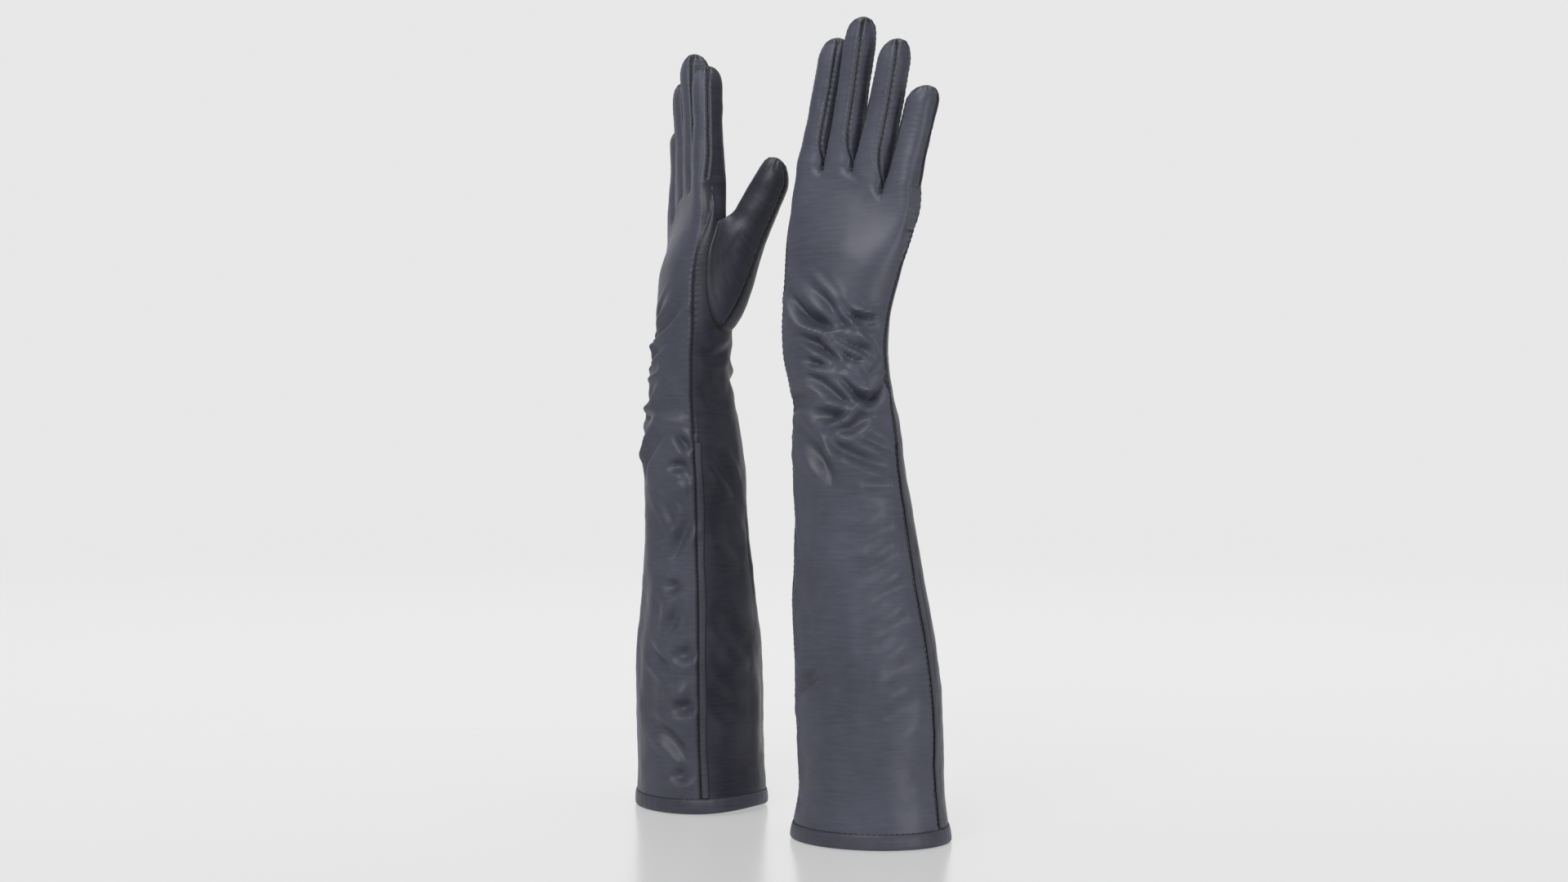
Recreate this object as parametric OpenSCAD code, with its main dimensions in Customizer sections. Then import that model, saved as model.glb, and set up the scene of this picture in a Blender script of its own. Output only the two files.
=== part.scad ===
// A pair of elbow-length gloves that stand open on their cuffs, as they sit on a pair of raised hands.
// Every glove is modelled as the right-hand one in its own frame, then placed; the left one is its mirror.
// In the glove's own frame X runs to the little-finger side, Y to the palm side and Z to the fingertips.

/* [Sleeve] */
// Height of the sleeve panels, from the floor to the wrist gathers
sleeve_h = 236; // [180:1:300]
// Width of the cuff, from the thumb side to the little-finger side
cuff_w = 93; // [80:1:120]
// Depth of the cuff, from the back side to the palm side
cuff_t = 80; // [66:1:104]
// Width of the sleeve where the wrist gathers start
wrist_w = 60; // [48:1:76]
// Depth of the sleeve where the wrist gathers start
wrist_t = 57; // [44:1:70]
// Depth of the turned-up hem
hem_depth = 8; // [5:0.5:15]
// Width of the seam allowance that lies on the palm side of each side seam
welt_w = 4; // [2:0.5:7]
// Share of the sleeve's height at which the seam allowances run out
welt_share = 0.95; // [0.5:0.01:0.98]

/* [Wrist] */
// Height of the gathered wrist, between the sleeve and the hand
wrist_h = 60; // [45:1:80]

/* [Hand] */
// Width of the hand at the base of the thumb
base_w = 64; // [52:1:78]
// Depth of the hand at the base of the thumb
base_t = 46; // [36:1:58]
// Height of the hand, from the gathers to the root of the middle finger
palm_h = 87; // [70:1:110]
// Depth of the hand at the knuckles
knuckle_t = 26; // [22:0.5:36]
// Cloth left outside the row of fingers, on the thumb side
thumb_side_cloth = 3.4; // [1:0.1:6]
// Cloth left outside the row of fingers, on the little-finger side
little_side_cloth = 1.4; // [0.5:0.1:4]

/* [Fingers] */
// Width of the index finger at its root
index_w = 17; // [14:0.1:24]
// Width of the middle finger at its root
middle_w = 17.8; // [14:0.1:24]
// Width of the ring finger at its root
ring_w = 18.2; // [14:0.1:24]
// Width of the little finger at its root
little_w = 18.4; // [13:0.1:23]
// Depth of each finger at its root, from back to palm
finger_t = 20.5; // [16:0.5:22]
// Length of the index finger
index_l = 74; // [55:0.5:95]
// Length of the middle finger
middle_l = 82; // [60:0.5:105]
// Length of the ring finger
ring_l = 71; // [55:0.5:95]
// Length of the little finger
little_l = 56; // [45:0.5:80]
// How far the root of the index finger lies below the middle finger's
index_drop = 2; // [0.5:0.1:2.4]
// How far the root of the ring finger lies below the middle finger's
ring_drop = 3; // [2.5:0.1:6]
// How far the root of the little finger lies below the middle finger's
little_drop = 15; // [8:0.5:22]
// Gap between neighbouring fingers at their roots
finger_gap = 0.6; // [0.4:0.1:2]

/* [Thumb] */
// Height of the lower end of the thumb's seam above the gathers
thumb_start = 4; // [3:0.5:12]
// Length of the thumb's seam, from its lower end to the crotch
thumb_seam_l = 58; // [40:1:62]
// Width of the free part of the thumb
thumb_w = 23; // [18:0.5:28]
// Height of the thumb's tip above the gathers
thumb_h = 99; // [85:1:130]
// How far the thumb's tip stands out from the middle of its seam
thumb_reach = 37; // [20:1:45]

/* [Cloth] */
// Thickness of the modelled cloth
cloth = 0.8; // [0.6:0.1:1.5]
// Gap kept between pieces that move against each other
clearance = 0.4; // [0.3:0.1:1]
// Length of one hem stitch
stitch_l = 2.6; // [1.5:0.1:4]
// Thickness of the sewing thread
thread_d = 0.5; // [0.3:0.1:0.8]

/* [Pair] */
// Distance between the middles of the two cuffs
pair_gap = 156; // [140:1:320]
// How far each glove is turned outwards
outward_turn = 22; // [0:1:40]
// Where the middles of the cuffs stand along Y, so that the pair is centred on its origin
stand_y = 0.5; // [-20:0.5:20]

/* [Hidden] */
SIDES = ["left", "right"];
PARTS = [
    "sleeve_back", "sleeve_palm", "cuff_hem", "hem_stitching", "radial_welt", "ulnar_welt",
    "wrist_back", "wrist_palm",
    "hand_back", "hand_palm", "fourchette_roots", "thumb_stitching",
    "index_back", "index_palm", "index_fourchette",
    "middle_back", "middle_palm", "middle_fourchettes",
    "ring_back", "ring_palm", "ring_fourchettes",
    "little_back", "little_palm", "little_fourchette",
    "thumb_outer", "thumb_inner",
];

SATIN = [0.30, 0.31, 0.36];
SATIN_SHADE = [0.26, 0.27, 0.31];
STRIP = [0.36, 0.37, 0.42];
THREAD = [0.14, 0.14, 0.16];

// Heights where one zone of the glove ends and the next begins.
hand_z = sleeve_h + wrist_h;
top_z = hand_z + palm_h;
thumb_z = hand_z + thumb_start;

// The fingers, from the index to the little one.
widths = [index_w, middle_w, ring_w, little_w];
lengths = [index_l, middle_l, ring_l, little_l];
drops = [index_drop, 0, ring_drop, little_drop];
// How far each fingertip leans to the little-finger side, and to the palm side.
leans = [[13.8, 3], [13.5, 0], [16, 1], [13, 4]];
hand_w = thumb_side_cloth + index_w + middle_w + ring_w + little_w + 3 * finger_gap + little_side_cloth;

// Each form runs up one zone. A row holds the share of the zone's height, the share of the change in
// width and in depth from the zone's lower end to its upper end, and the middle's place in X and Y.
SLEEVE_FORM = [
    [0.00, 0.00, 0.00,   0.0,   0.0],
    [0.05, 0.15, 0.04,   0.0,   0.0],
    [0.13, 0.33, 0.09,   1.0,   0.0],
    [0.25, 0.27, 0.04,   0.0,  -1.0],
    [0.40, 0.27, 0.13,  -1.0,  -1.5],
    [0.57, 0.45, 0.48,  -5.0,  -3.0],
    [0.74, 0.73, 0.74,  -7.0,  -5.0],
    [0.92, 0.88, 0.78, -10.5,  -8.0],
    [1.00, 1.00, 1.00, -11.0,  -9.0],
];
WRIST_FORM = [
    [0.00,  0.00, 0.00, -11.0,  -9.0],
    [0.15, -0.50, 0.27, -11.0, -10.0],
    [0.40,  0.00, 0.64, -14.0, -11.0],
    [0.65,  0.50, 0.91, -17.0, -12.0],
    [0.90,  0.88, 0.98, -17.4, -10.0],
    [1.00,  1.00, 1.00, -17.5,  -9.0],
];
HAND_FORM = [
    [0.00, 0.00, 0.00, -17.5,  -9.0],
    [0.25, 0.35, 0.25, -13.4,  -9.0],
    [0.46, 0.72, 0.50, -11.0,  -8.5],
    [0.68, 1.00, 0.75,  -9.0,  -7.5],
    [0.82, 1.00, 0.90,  -6.3,  -6.0],
    [1.00, 1.00, 1.00,  -6.3,  -5.0],
];
// A finger: share of its length, of its root's width and of its root's depth.
FINGER_FORM = [
    [0.00, 1.00, 1.00],
    [0.15, 0.97, 0.94],
    [0.38, 0.94, 0.87],
    [0.62, 0.91, 0.83],
    [0.80, 0.90, 0.83],
    [0.91, 0.74, 0.66],
    [0.97, 0.47, 0.41],
    [1.00, 0.13, 0.12],
];
// The free part of the thumb: share of its length and of its width.
THUMB_FORM = [
    [0.00, 1.00],
    [0.30, 0.99],
    [0.55, 0.93],
    [0.75, 0.80],
    [0.90, 0.55],
    [1.00, 0.11],
];

// The roundness of a section: 2 is an ellipse, and more is squarer.
sleeve_round = 2;
hand_round = 2.6;
finger_round = 2.2;
tip_hole = 0.3;

function mix(low, high, k) = low + (high - low) * k;
function sum_to(list, count) = count <= 0 ? 0 : list[count - 1] + sum_to(list, count - 1);
function column(form, k, c) = lookup(k, [for (row = form) [row[0], row[c]]]);
function unit(v) = v / norm(v);

// A section of the glove's tube at a height: width, depth, middle X, middle Y, roundness.
function zone(form, k, low, high, round_low, round_high) = [
    mix(low[0], high[0], column(form, k, 1)),
    mix(low[1], high[1], column(form, k, 2)),
    column(form, k, 3),
    column(form, k, 4),
    mix(round_low, round_high, k),
];
function section(z) =
    z <= sleeve_h
        ? zone(SLEEVE_FORM, z / sleeve_h, [cuff_w, cuff_t], [wrist_w, wrist_t], sleeve_round, sleeve_round)
    : z <= hand_z
        ? zone(WRIST_FORM, (z - sleeve_h) / wrist_h, [wrist_w, wrist_t], [base_w, base_t],
               sleeve_round, sleeve_round)
    : zone(HAND_FORM, (z - hand_z) / palm_h, [base_w, base_t], [hand_w, knuckle_t],
           sleeve_round, hand_round);

// A point of the tube: across is -1 at the thumb-side seam and 1 at the other seam,
// face is 1 on the palm side and -1 on the back, and out is how far outside the surface it lies.
function on_tube(across, face, z, out = 0) =
    let (
        s = section(z),
        bow = pow(max(0, 1 - pow(abs(across), s[4])), 1 / s[4])
    )
    [s[2] + across * (s[0] / 2 + out), s[3] + face * (s[1] / 2 + out) * bow, z];

// Where the gaps between the fingers fall across the hand, from -1 to 1.
function split(k) =
    (-hand_w / 2 + thumb_side_cloth + sum_to(widths, k + 1) + finger_gap * (k + 0.5)) / (hand_w / 2);
splits = [for (k = [0:2]) split(k)];

// The columns of the panels, across the palm from the little-finger side, and back across the back.
ACROSS = concat(
    [1, 0.975, 0.9, 0.76],
    [for (k = [2:-1:1]) for (s = [0:2]) mix(splits[k], splits[k - 1], s / 3)],
    [splits[0], -0.7, -0.88, -0.97, -1]
);
half = len(ACROSS) - 1;
RING = concat(
    [for (x = ACROSS) [x, 1]],
    [for (i = [1:half - 1]) [ACROSS[half - i], -1]]
);

function tube_row(z, out = 0) = [for (c = RING) on_tube(c[0], c[1], z, out)];

// A sheet of cloth between an outer and an inner grid of points. Rows run up and columns run round.
// Only the cells that keep() holds are made, and each free edge is closed.
module sheet(outer, inner, keep) {
    rows = len(outer);
    cols = len(outer[0]);
    shift = rows * cols;
    kept = [for (i = [0:rows - 2]) [for (j = [0:cols - 1]) keep(i, j)]];
    function at(i, j) = i * cols + j % cols;
    function has(i, j) = i >= 0 && i < rows - 1 && kept[i][(j + cols) % cols];
    points = concat(
        [for (row = outer) for (p = row) p],
        [for (row = inner) for (p = row) p]
    );
    faces = [
        for (i = [0:rows - 2]) for (j = [0:cols - 1]) if (kept[i][j])
            let (
                a = at(i, j),
                b = at(i, j + 1),
                c = at(i + 1, j + 1),
                d = at(i + 1, j),
                e = a + shift,
                f = b + shift,
                g = c + shift,
                h = d + shift
            )
            each concat(
                [[a, d, c], [a, c, b], [e, f, g], [e, g, h]],
                has(i - 1, j) ? [] : [[a, b, f], [a, f, e]],
                has(i + 1, j) ? [] : [[c, d, g], [d, h, g]],
                has(i, j - 1) ? [] : [[d, a, h], [a, e, h]],
                has(i, j + 1) ? [] : [[b, c, g], [b, g, f]]
            )
    ];
    polyhedron(points = points, faces = faces, convexity = 6);
}

module tube_sheet(heights, keep) {
    sheet([for (z = heights) tube_row(z)], [for (z = heights) tube_row(z, -cloth)], keep);
}

// ---- Sleeve ----

SLEEVE_ROWS = concat([hem_depth], [for (i = [1:len(SLEEVE_FORM) - 1]) SLEEVE_FORM[i][0] * sleeve_h]);

module sleeve_back() {
    color(SATIN) tube_sheet(SLEEVE_ROWS, function (i, j) j >= half);
}

module sleeve_palm() {
    color(SATIN_SHADE) tube_sheet(SLEEVE_ROWS, function (i, j) j < half);
}

// The cloth is turned up inside, so the hem is two layers thick, and it stands slightly out.
module cuff_hem() {
    flare = 0.2;
    color(SATIN)
    sheet(
        [tube_row(0, 2 * flare), tube_row(hem_depth, flare)],
        [tube_row(0, 2 * flare - 2 * cloth), tube_row(hem_depth, flare - 2 * cloth)],
        function (i, j) true
    );
}

// One stitch is a short bar along the cuff, just outside the cloth.
module hem_stitching() {
    stitches = 48;
    row_z = hem_depth + thread_d;
    color(THREAD)
    for (i = [0:stitches - 1]) {
        s = section(row_z);
        turn = 360 * i / stitches;
        place = [s[2] + (s[0] / 2 + thread_d) * cos(turn), s[3] + (s[1] / 2 + thread_d) * sin(turn), row_z];
        along = atan2(s[1] * cos(turn), -s[0] * sin(turn));
        translate(place)
            rotate([0, 0, along])
                cube([stitch_l, thread_d, thread_d], center = true);
    }
}

// The seam allowance lies on the palm side of a side seam, like a flat tape.
module welt(seam) {
    lift = 0.05;
    low = hem_depth + 2 * thread_d;
    high = welt_share * sleeve_h;
    heights = concat([low], [for (z = SLEEVE_ROWS) if (z > low && z < high) z], [high]);
    function reach(z) = 1 - pow(2 * welt_w / section(z)[1], 2) / 2;
    function edge(z, out) = let (
        pair = [on_tube(seam, 1, z, out), on_tube(seam * reach(z), 1, z, out)]
    ) seam > 0 ? pair : [pair[1], pair[0]];
    color(STRIP)
    sheet(
        [for (z = heights) edge(z, lift + cloth)],
        [for (z = heights) edge(z, lift)],
        function (i, j) j == 0
    );
}

module radial_welt() {
    welt(-1);
}

module ulnar_welt() {
    welt(1);
}

// ---- Wrist ----

WRIST_ROWS = [for (row = WRIST_FORM) sleeve_h + row[0] * wrist_h];

module wrist_back() {
    color(SATIN) tube_sheet(WRIST_ROWS, function (i, j) j >= half);
}

module wrist_palm() {
    color(SATIN_SHADE) tube_sheet(WRIST_ROWS, function (i, j) j < half);
}

// ---- Hand ----

// The thumb's seam is an oval on the palm side of the hand.
oval_across = -0.55;
oval_half = 0.36;
oval_z = thumb_z + thumb_seam_l / 2;
oval_rise = thumb_seam_l / 2;

HAND_ROWS = concat(
    [hand_z + clearance, thumb_z],
    [for (k = [1:5]) thumb_z + thumb_seam_l * k / 6],
    [mix(oval_z + oval_rise, top_z - little_drop, 0.2)],
    [top_z - little_drop, top_z - ring_drop, top_z - index_drop, top_z]
);

function cell_across(j) = mix(RING[j][0], RING[(j + 1) % (2 * half)][0], 0.5);
function finger_at(across) =
    across < splits[0] ? 0 : across < splits[1] ? 1 : across < splits[2] ? 2 : 3;
function under_finger(i, j) =
    HAND_ROWS[i + 1] <= top_z - drops[finger_at(cell_across(j))] + 0.01;
function in_oval(i, j) =
    let (
        x = (cell_across(j) - oval_across) / oval_half,
        z = (mix(HAND_ROWS[i], HAND_ROWS[i + 1], 0.5) - oval_z) / oval_rise
    )
    x * x + z * z < 0.85;

module hand_back() {
    color(SATIN) tube_sheet(HAND_ROWS, function (i, j) j >= half && under_finger(i, j));
}

module hand_palm() {
    color(SATIN_SHADE)
    tube_sheet(HAND_ROWS, function (i, j) j < half && under_finger(i, j) && !in_oval(i, j));
}

// Between two fingers the strip that joins them turns round at the bottom of the gap.
module fourchette_roots() {
    for (k = [0:2]) {
        high = top_z - min(drops[k], drops[k + 1]);
        low = top_z - max(drops[k], drops[k + 1]) - 2;
        away = drops[k] < drops[k + 1] ? -1 : 1;
        s = section(high);
        bow = pow(1 - pow(abs(splits[k]), s[4]), 1 / s[4]);
        span = 2 * (s[1] / 2 - cloth) * bow - 0.2;
        color(STRIP)
        translate([s[2] + splits[k] * s[0] / 2 + away * cloth / 2, s[3], (low + high) / 2])
            cube([cloth, span, high - low], center = true);
    }
}

// The points of the thumb's seam, as an oval round the hole in the palm.
function oval_point(turn, grow, out) = on_tube(
    oval_across - (oval_half + 2 * grow / hand_w) * cos(turn),
    1,
    oval_z + (oval_rise + grow) * sin(turn),
    out
);

// A row of thread round the thumb's seam, on the hand's side of it.
module thumb_stitching() {
    around = 28;
    sides = 6;
    grow = 1.2;
    lift = thread_d / 2 + 0.15;
    path = [for (i = [0:around - 1]) oval_point(360 * i / around, grow, lift)];
    function bead(i) =
        let (
            ahead = unit(path[(i + 1) % around] - path[(i + around - 1) % around]),
            outward = unit(oval_point(360 * i / around, grow, 5) - path[i]),
            aside = unit(cross(ahead, outward)),
            up = cross(aside, ahead)
        )
        [for (k = [0:sides - 1]) path[i] + thread_d / 2 * (cos(60 * k) * aside + sin(60 * k) * up)];
    rings = [for (i = [0:around - 1]) bead(i)];
    color(THREAD)
    polyhedron(
        points = [for (r = rings) for (p = r) p],
        faces = [
            for (i = [0:around - 1]) for (k = [0:sides - 1])
                let (
                    a = i * sides + k,
                    b = i * sides + (k + 1) % sides,
                    c = ((i + 1) % around) * sides + (k + 1) % sides,
                    d = ((i + 1) % around) * sides + k
                )
                each [[a, c, b], [a, d, c]]
        ],
        convexity = 4
    );
}

// ---- Fingers ----

finger_cols = 16;

function finger_x(k) =
    section(top_z)[2] - hand_w / 2 + thumb_side_cloth + sum_to(widths, k) + finger_gap * k + widths[k] / 2;
function finger_z(k) = top_z - drops[k] + clearance;

// One ring of finger k at share s of its length; shrink is how far inside the surface it lies.
function finger_row(k, s, shrink) =
    let (
        w = max(tip_hole, widths[k] / 2 * column(FINGER_FORM, s, 1) - shrink),
        t = max(tip_hole, finger_t / 2 * column(FINGER_FORM, s, 2) - shrink),
        x = finger_x(k) + leans[k][0] * s,
        y = section(top_z)[3] + leans[k][1] * s,
        z = finger_z(k) + (lengths[k] - clearance) * s - (s > 0.9 ? shrink * (s - 0.9) / 0.1 : 0)
    )
    [
        for (j = [0:finger_cols - 1])
            let (
                turn = 360 * j / finger_cols,
                c = cos(turn),
                d = sin(turn)
            )
            [
                x + w * sign(c) * pow(abs(c), 2 / finger_round),
                y + t * sign(d) * pow(abs(d), 2 / finger_round),
                z
            ]
    ];

// The columns of a finger's strips: 0 is the little-finger side, 4 the palm side,
// 8 the thumb side and 12 the back.
module finger_strip(k, first, last) {
    shares = [for (row = FINGER_FORM) row[0]];
    sheet(
        [for (s = shares) finger_row(k, s, 0)],
        [for (s = shares) finger_row(k, s, cloth)],
        function (i, j) j >= first && j < last || j + finger_cols >= first && j + finger_cols < last
    );
}

module index_back() {
    color(SATIN) finger_strip(0, 8, 14);
}

module index_palm() {
    color(SATIN_SHADE) finger_strip(0, 2, 8);
}

module index_fourchette() {
    color(STRIP) finger_strip(0, 14, 18);
}

module middle_back() {
    color(SATIN) finger_strip(1, 10, 14);
}

module middle_palm() {
    color(SATIN_SHADE) finger_strip(1, 2, 6);
}

module middle_fourchettes() {
    color(STRIP) {
        finger_strip(1, 6, 10);
        finger_strip(1, 14, 18);
    }
}

module ring_back() {
    color(SATIN) finger_strip(2, 10, 14);
}

module ring_palm() {
    color(SATIN_SHADE) finger_strip(2, 2, 6);
}

module ring_fourchettes() {
    color(STRIP) {
        finger_strip(2, 6, 10);
        finger_strip(2, 14, 18);
    }
}

module little_back() {
    color(SATIN) finger_strip(3, 10, 16);
}

module little_palm() {
    color(SATIN_SHADE) finger_strip(3, 0, 6);
}

module little_fourchette() {
    color(STRIP) finger_strip(3, 6, 10);
}

// ---- Thumb ----

thumb_cols = 16;
// The way the thumb stands out from the hand, level with the floor.
thumb_out = unit([-0.58, 0.82, 0]);
thumb_foot = on_tube(oval_across, 1, thumb_z);
thumb_tip = [thumb_foot[0], thumb_foot[1], hand_z + thumb_h] + (thumb_reach - thumb_w / 4) * thumb_out;
thumb_bend = on_tube(oval_across, 1, oval_z) + 0.47 * thumb_reach * thumb_out
    + [0, 0, thumb_seam_l / 2 + 4];
thumb_axis = unit(thumb_tip - thumb_bend);
thumb_side = unit(cross([0, 0, 1], thumb_out));
thumb_in = cross(thumb_axis, thumb_side);

function thumb_free(s, shrink) =
    let (
        r = max(tip_hole, thumb_w / 2 * column(THUMB_FORM, s, 1) - shrink),
        c = mix(thumb_bend, thumb_tip, s) - (s > 0.8 ? shrink * (s - 0.8) / 0.2 : 0) * thumb_axis
    )
    [
        for (j = [0:thumb_cols - 1])
            let (turn = 360 * j / thumb_cols)
            c + r * (cos(turn) * thumb_side + sin(turn) * thumb_in)
    ];
function thumb_root(shrink) =
    [for (j = [0:thumb_cols - 1]) oval_point(360 * j / thumb_cols, -shrink, clearance)];
function thumb_rows(shrink) =
    let (
        root = thumb_root(shrink),
        neck = thumb_free(0, shrink)
    )
    concat(
        [for (k = [0, 0.33, 0.67]) [for (j = [0:thumb_cols - 1]) mix(root[j], neck[j], k)]],
        [for (row = THUMB_FORM) thumb_free(row[0], shrink)]
    );

// The thumb is cut as two halves, one that faces the hand and one that faces away.
module thumb_outer() {
    color(SATIN) sheet(thumb_rows(0), thumb_rows(cloth), function (i, j) j >= thumb_cols / 2);
}

module thumb_inner() {
    color(SATIN_SHADE) sheet(thumb_rows(0), thumb_rows(cloth), function (i, j) j < thumb_cols / 2);
}

// ---- The pair ----

module place(side) {
    translate([0, stand_y, 0])
        mirror([side == "left" ? 1 : 0, 0, 0])
            translate([pair_gap / 2, 0, 0])
                rotate([0, 0, outward_turn])
                    children();
}

for (side = SIDES) place(side) {
    sleeve_back();
    sleeve_palm();
    cuff_hem();
    hem_stitching();
    radial_welt();
    ulnar_welt();
    wrist_back();
    wrist_palm();
    hand_back();
    hand_palm();
    fourchette_roots();
    thumb_stitching();
    index_back();
    index_palm();
    index_fourchette();
    middle_back();
    middle_palm();
    middle_fourchettes();
    ring_back();
    ring_palm();
    ring_fourchettes();
    little_back();
    little_palm();
    little_fourchette();
    thumb_outer();
    thumb_inner();
}
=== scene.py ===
import math

import bpy
import numpy as np
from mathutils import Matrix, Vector, noise


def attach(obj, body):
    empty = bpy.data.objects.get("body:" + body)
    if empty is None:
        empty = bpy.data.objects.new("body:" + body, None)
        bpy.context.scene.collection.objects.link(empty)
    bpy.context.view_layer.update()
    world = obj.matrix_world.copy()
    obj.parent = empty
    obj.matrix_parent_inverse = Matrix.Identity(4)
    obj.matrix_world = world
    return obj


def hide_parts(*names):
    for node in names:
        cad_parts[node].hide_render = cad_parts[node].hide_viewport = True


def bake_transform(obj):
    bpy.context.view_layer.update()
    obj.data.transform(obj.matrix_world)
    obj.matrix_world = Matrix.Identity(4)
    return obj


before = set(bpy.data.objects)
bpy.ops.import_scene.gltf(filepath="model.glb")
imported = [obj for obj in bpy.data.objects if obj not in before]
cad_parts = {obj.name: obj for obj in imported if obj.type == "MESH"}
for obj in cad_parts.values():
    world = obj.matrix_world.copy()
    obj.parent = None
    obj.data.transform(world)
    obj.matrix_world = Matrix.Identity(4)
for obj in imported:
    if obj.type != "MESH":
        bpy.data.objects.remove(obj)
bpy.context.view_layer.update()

# ---- Camera ----
# It stands level, at half the gloves' height, in front of the pair and well to the right of it, so that
# one glove shows its back and the other its thumb-side seam.
toward_camera = math.radians(50)
camera_front = np.array([math.sin(toward_camera), -math.cos(toward_camera), 0])
camera_side = np.array([math.cos(toward_camera), math.sin(toward_camera), 0])
camera_distance, camera_aside, camera_height = 1.295, 0.0015, 0.225
camera_place = camera_distance * camera_front + camera_aside * camera_side
bpy.ops.object.select_all(action="DESELECT")
bpy.ops.object.camera_add(
    location=(camera_place[0], camera_place[1], camera_height),
    rotation=(math.radians(90), 0, toward_camera),
)
camera = bpy.context.object
camera.name = "camera"
camera.data.lens = 50
camera.data.sensor_width = 36
bpy.context.scene.camera = camera

# ---- Studio ----
# A wide pale floor with a faint gloss that fades out far from the gloves, a room that is bright behind
# them, and three soft lamps: to the left of the camera, overhead, and low on the right.
bpy.context.scene.view_settings.view_transform = "Standard"

floor_radius, floor_drop = 9, 0.0006
bpy.ops.object.select_all(action="DESELECT")
bpy.ops.mesh.primitive_circle_add(
    vertices=96, radius=floor_radius, fill_type="NGON", location=(0, 0, -floor_drop)
)
floor = bpy.context.object
floor.name = "floor"
floor_paint = bpy.data.materials.new("pale_floor")
floor_paint.use_nodes = True
nodes, links = floor_paint.node_tree.nodes, floor_paint.node_tree.links
board = nodes["Principled BSDF"]
board.inputs["Base Color"].default_value = (0.20, 0.20, 0.20, 1)
board.inputs["Roughness"].default_value = 0.22
board.inputs["Specular IOR Level"].default_value = 0.35
board.inputs["Emission Color"].default_value = (1, 1, 1, 1)
board.inputs["Emission Strength"].default_value = 0.43
floor_place = nodes.new("ShaderNodeTexCoord")
reach = nodes.new("ShaderNodeVectorMath")
reach.operation = "LENGTH"
links.new(floor_place.outputs["Object"], reach.inputs[0])
far = nodes.new("ShaderNodeMapRange")
far.interpolation_type = "SMOOTHSTEP"
far.inputs["From Min"].default_value = 0.5
far.inputs["From Max"].default_value = 3.2
links.new(reach.outputs["Value"], far.inputs["Value"])
clear = nodes.new("ShaderNodeBsdfTransparent")
fade = nodes.new("ShaderNodeMixShader")
links.new(far.outputs["Result"], fade.inputs["Fac"])
links.new(board.outputs["BSDF"], fade.inputs[1])
links.new(clear.outputs["BSDF"], fade.inputs[2])
links.new(fade.outputs["Shader"], nodes["Material Output"].inputs["Surface"])
floor.data.materials.append(floor_paint)

surround = bpy.data.worlds.new("studio")
bpy.context.scene.world = surround
surround.use_nodes = True
nodes, links = surround.node_tree.nodes, surround.node_tree.links
direction = nodes.new("ShaderNodeTexCoord")
# The room is bright only behind the gloves, and dim around them and behind the camera.
behind = nodes.new("ShaderNodeVectorMath")
behind.operation = "DOT_PRODUCT"
behind.inputs[1].default_value = (-math.sin(toward_camera), math.cos(toward_camera), 0)
links.new(direction.outputs["Generated"], behind.inputs[0])
glow = nodes.new("ShaderNodeMapRange")
glow.interpolation_type = "SMOOTHSTEP"
glow.inputs["From Min"].default_value = 0.55
glow.inputs["From Max"].default_value = 0.90
glow.inputs["To Min"].default_value = 0.34
links.new(behind.outputs["Value"], glow.inputs["Value"])
links.new(glow.outputs["Result"], nodes["Background"].inputs["Strength"])
nodes["Background"].inputs["Color"].default_value = (0.805, 0.805, 0.805, 1)


def hang_lamp(name, across, ahead, height, size, power):
    """A soft square lamp, placed from the camera's point of view and aimed at the gloves."""
    place = Vector(across * camera_side + ahead * camera_front + np.array([0, 0, height]))
    gloves_middle = Vector((0, 0, 0.25))
    turn = (gloves_middle - place).to_track_quat("-Z", "Y").to_euler()
    bpy.ops.object.select_all(action="DESELECT")
    bpy.ops.object.light_add(type="AREA", location=place, rotation=turn)
    lamp = bpy.context.object
    lamp.name = name
    lamp.data.size = size
    lamp.data.energy = power


hang_lamp("key_lamp", across=-0.35, ahead=1.0, height=1.0, size=0.6, power=8)
hang_lamp("top_lamp", across=0.0, ahead=0.0, height=1.6, size=0.8, power=8)
hang_lamp("side_lamp", across=1.5, ahead=1.5, height=0.15, size=0.35, power=8)

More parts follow.
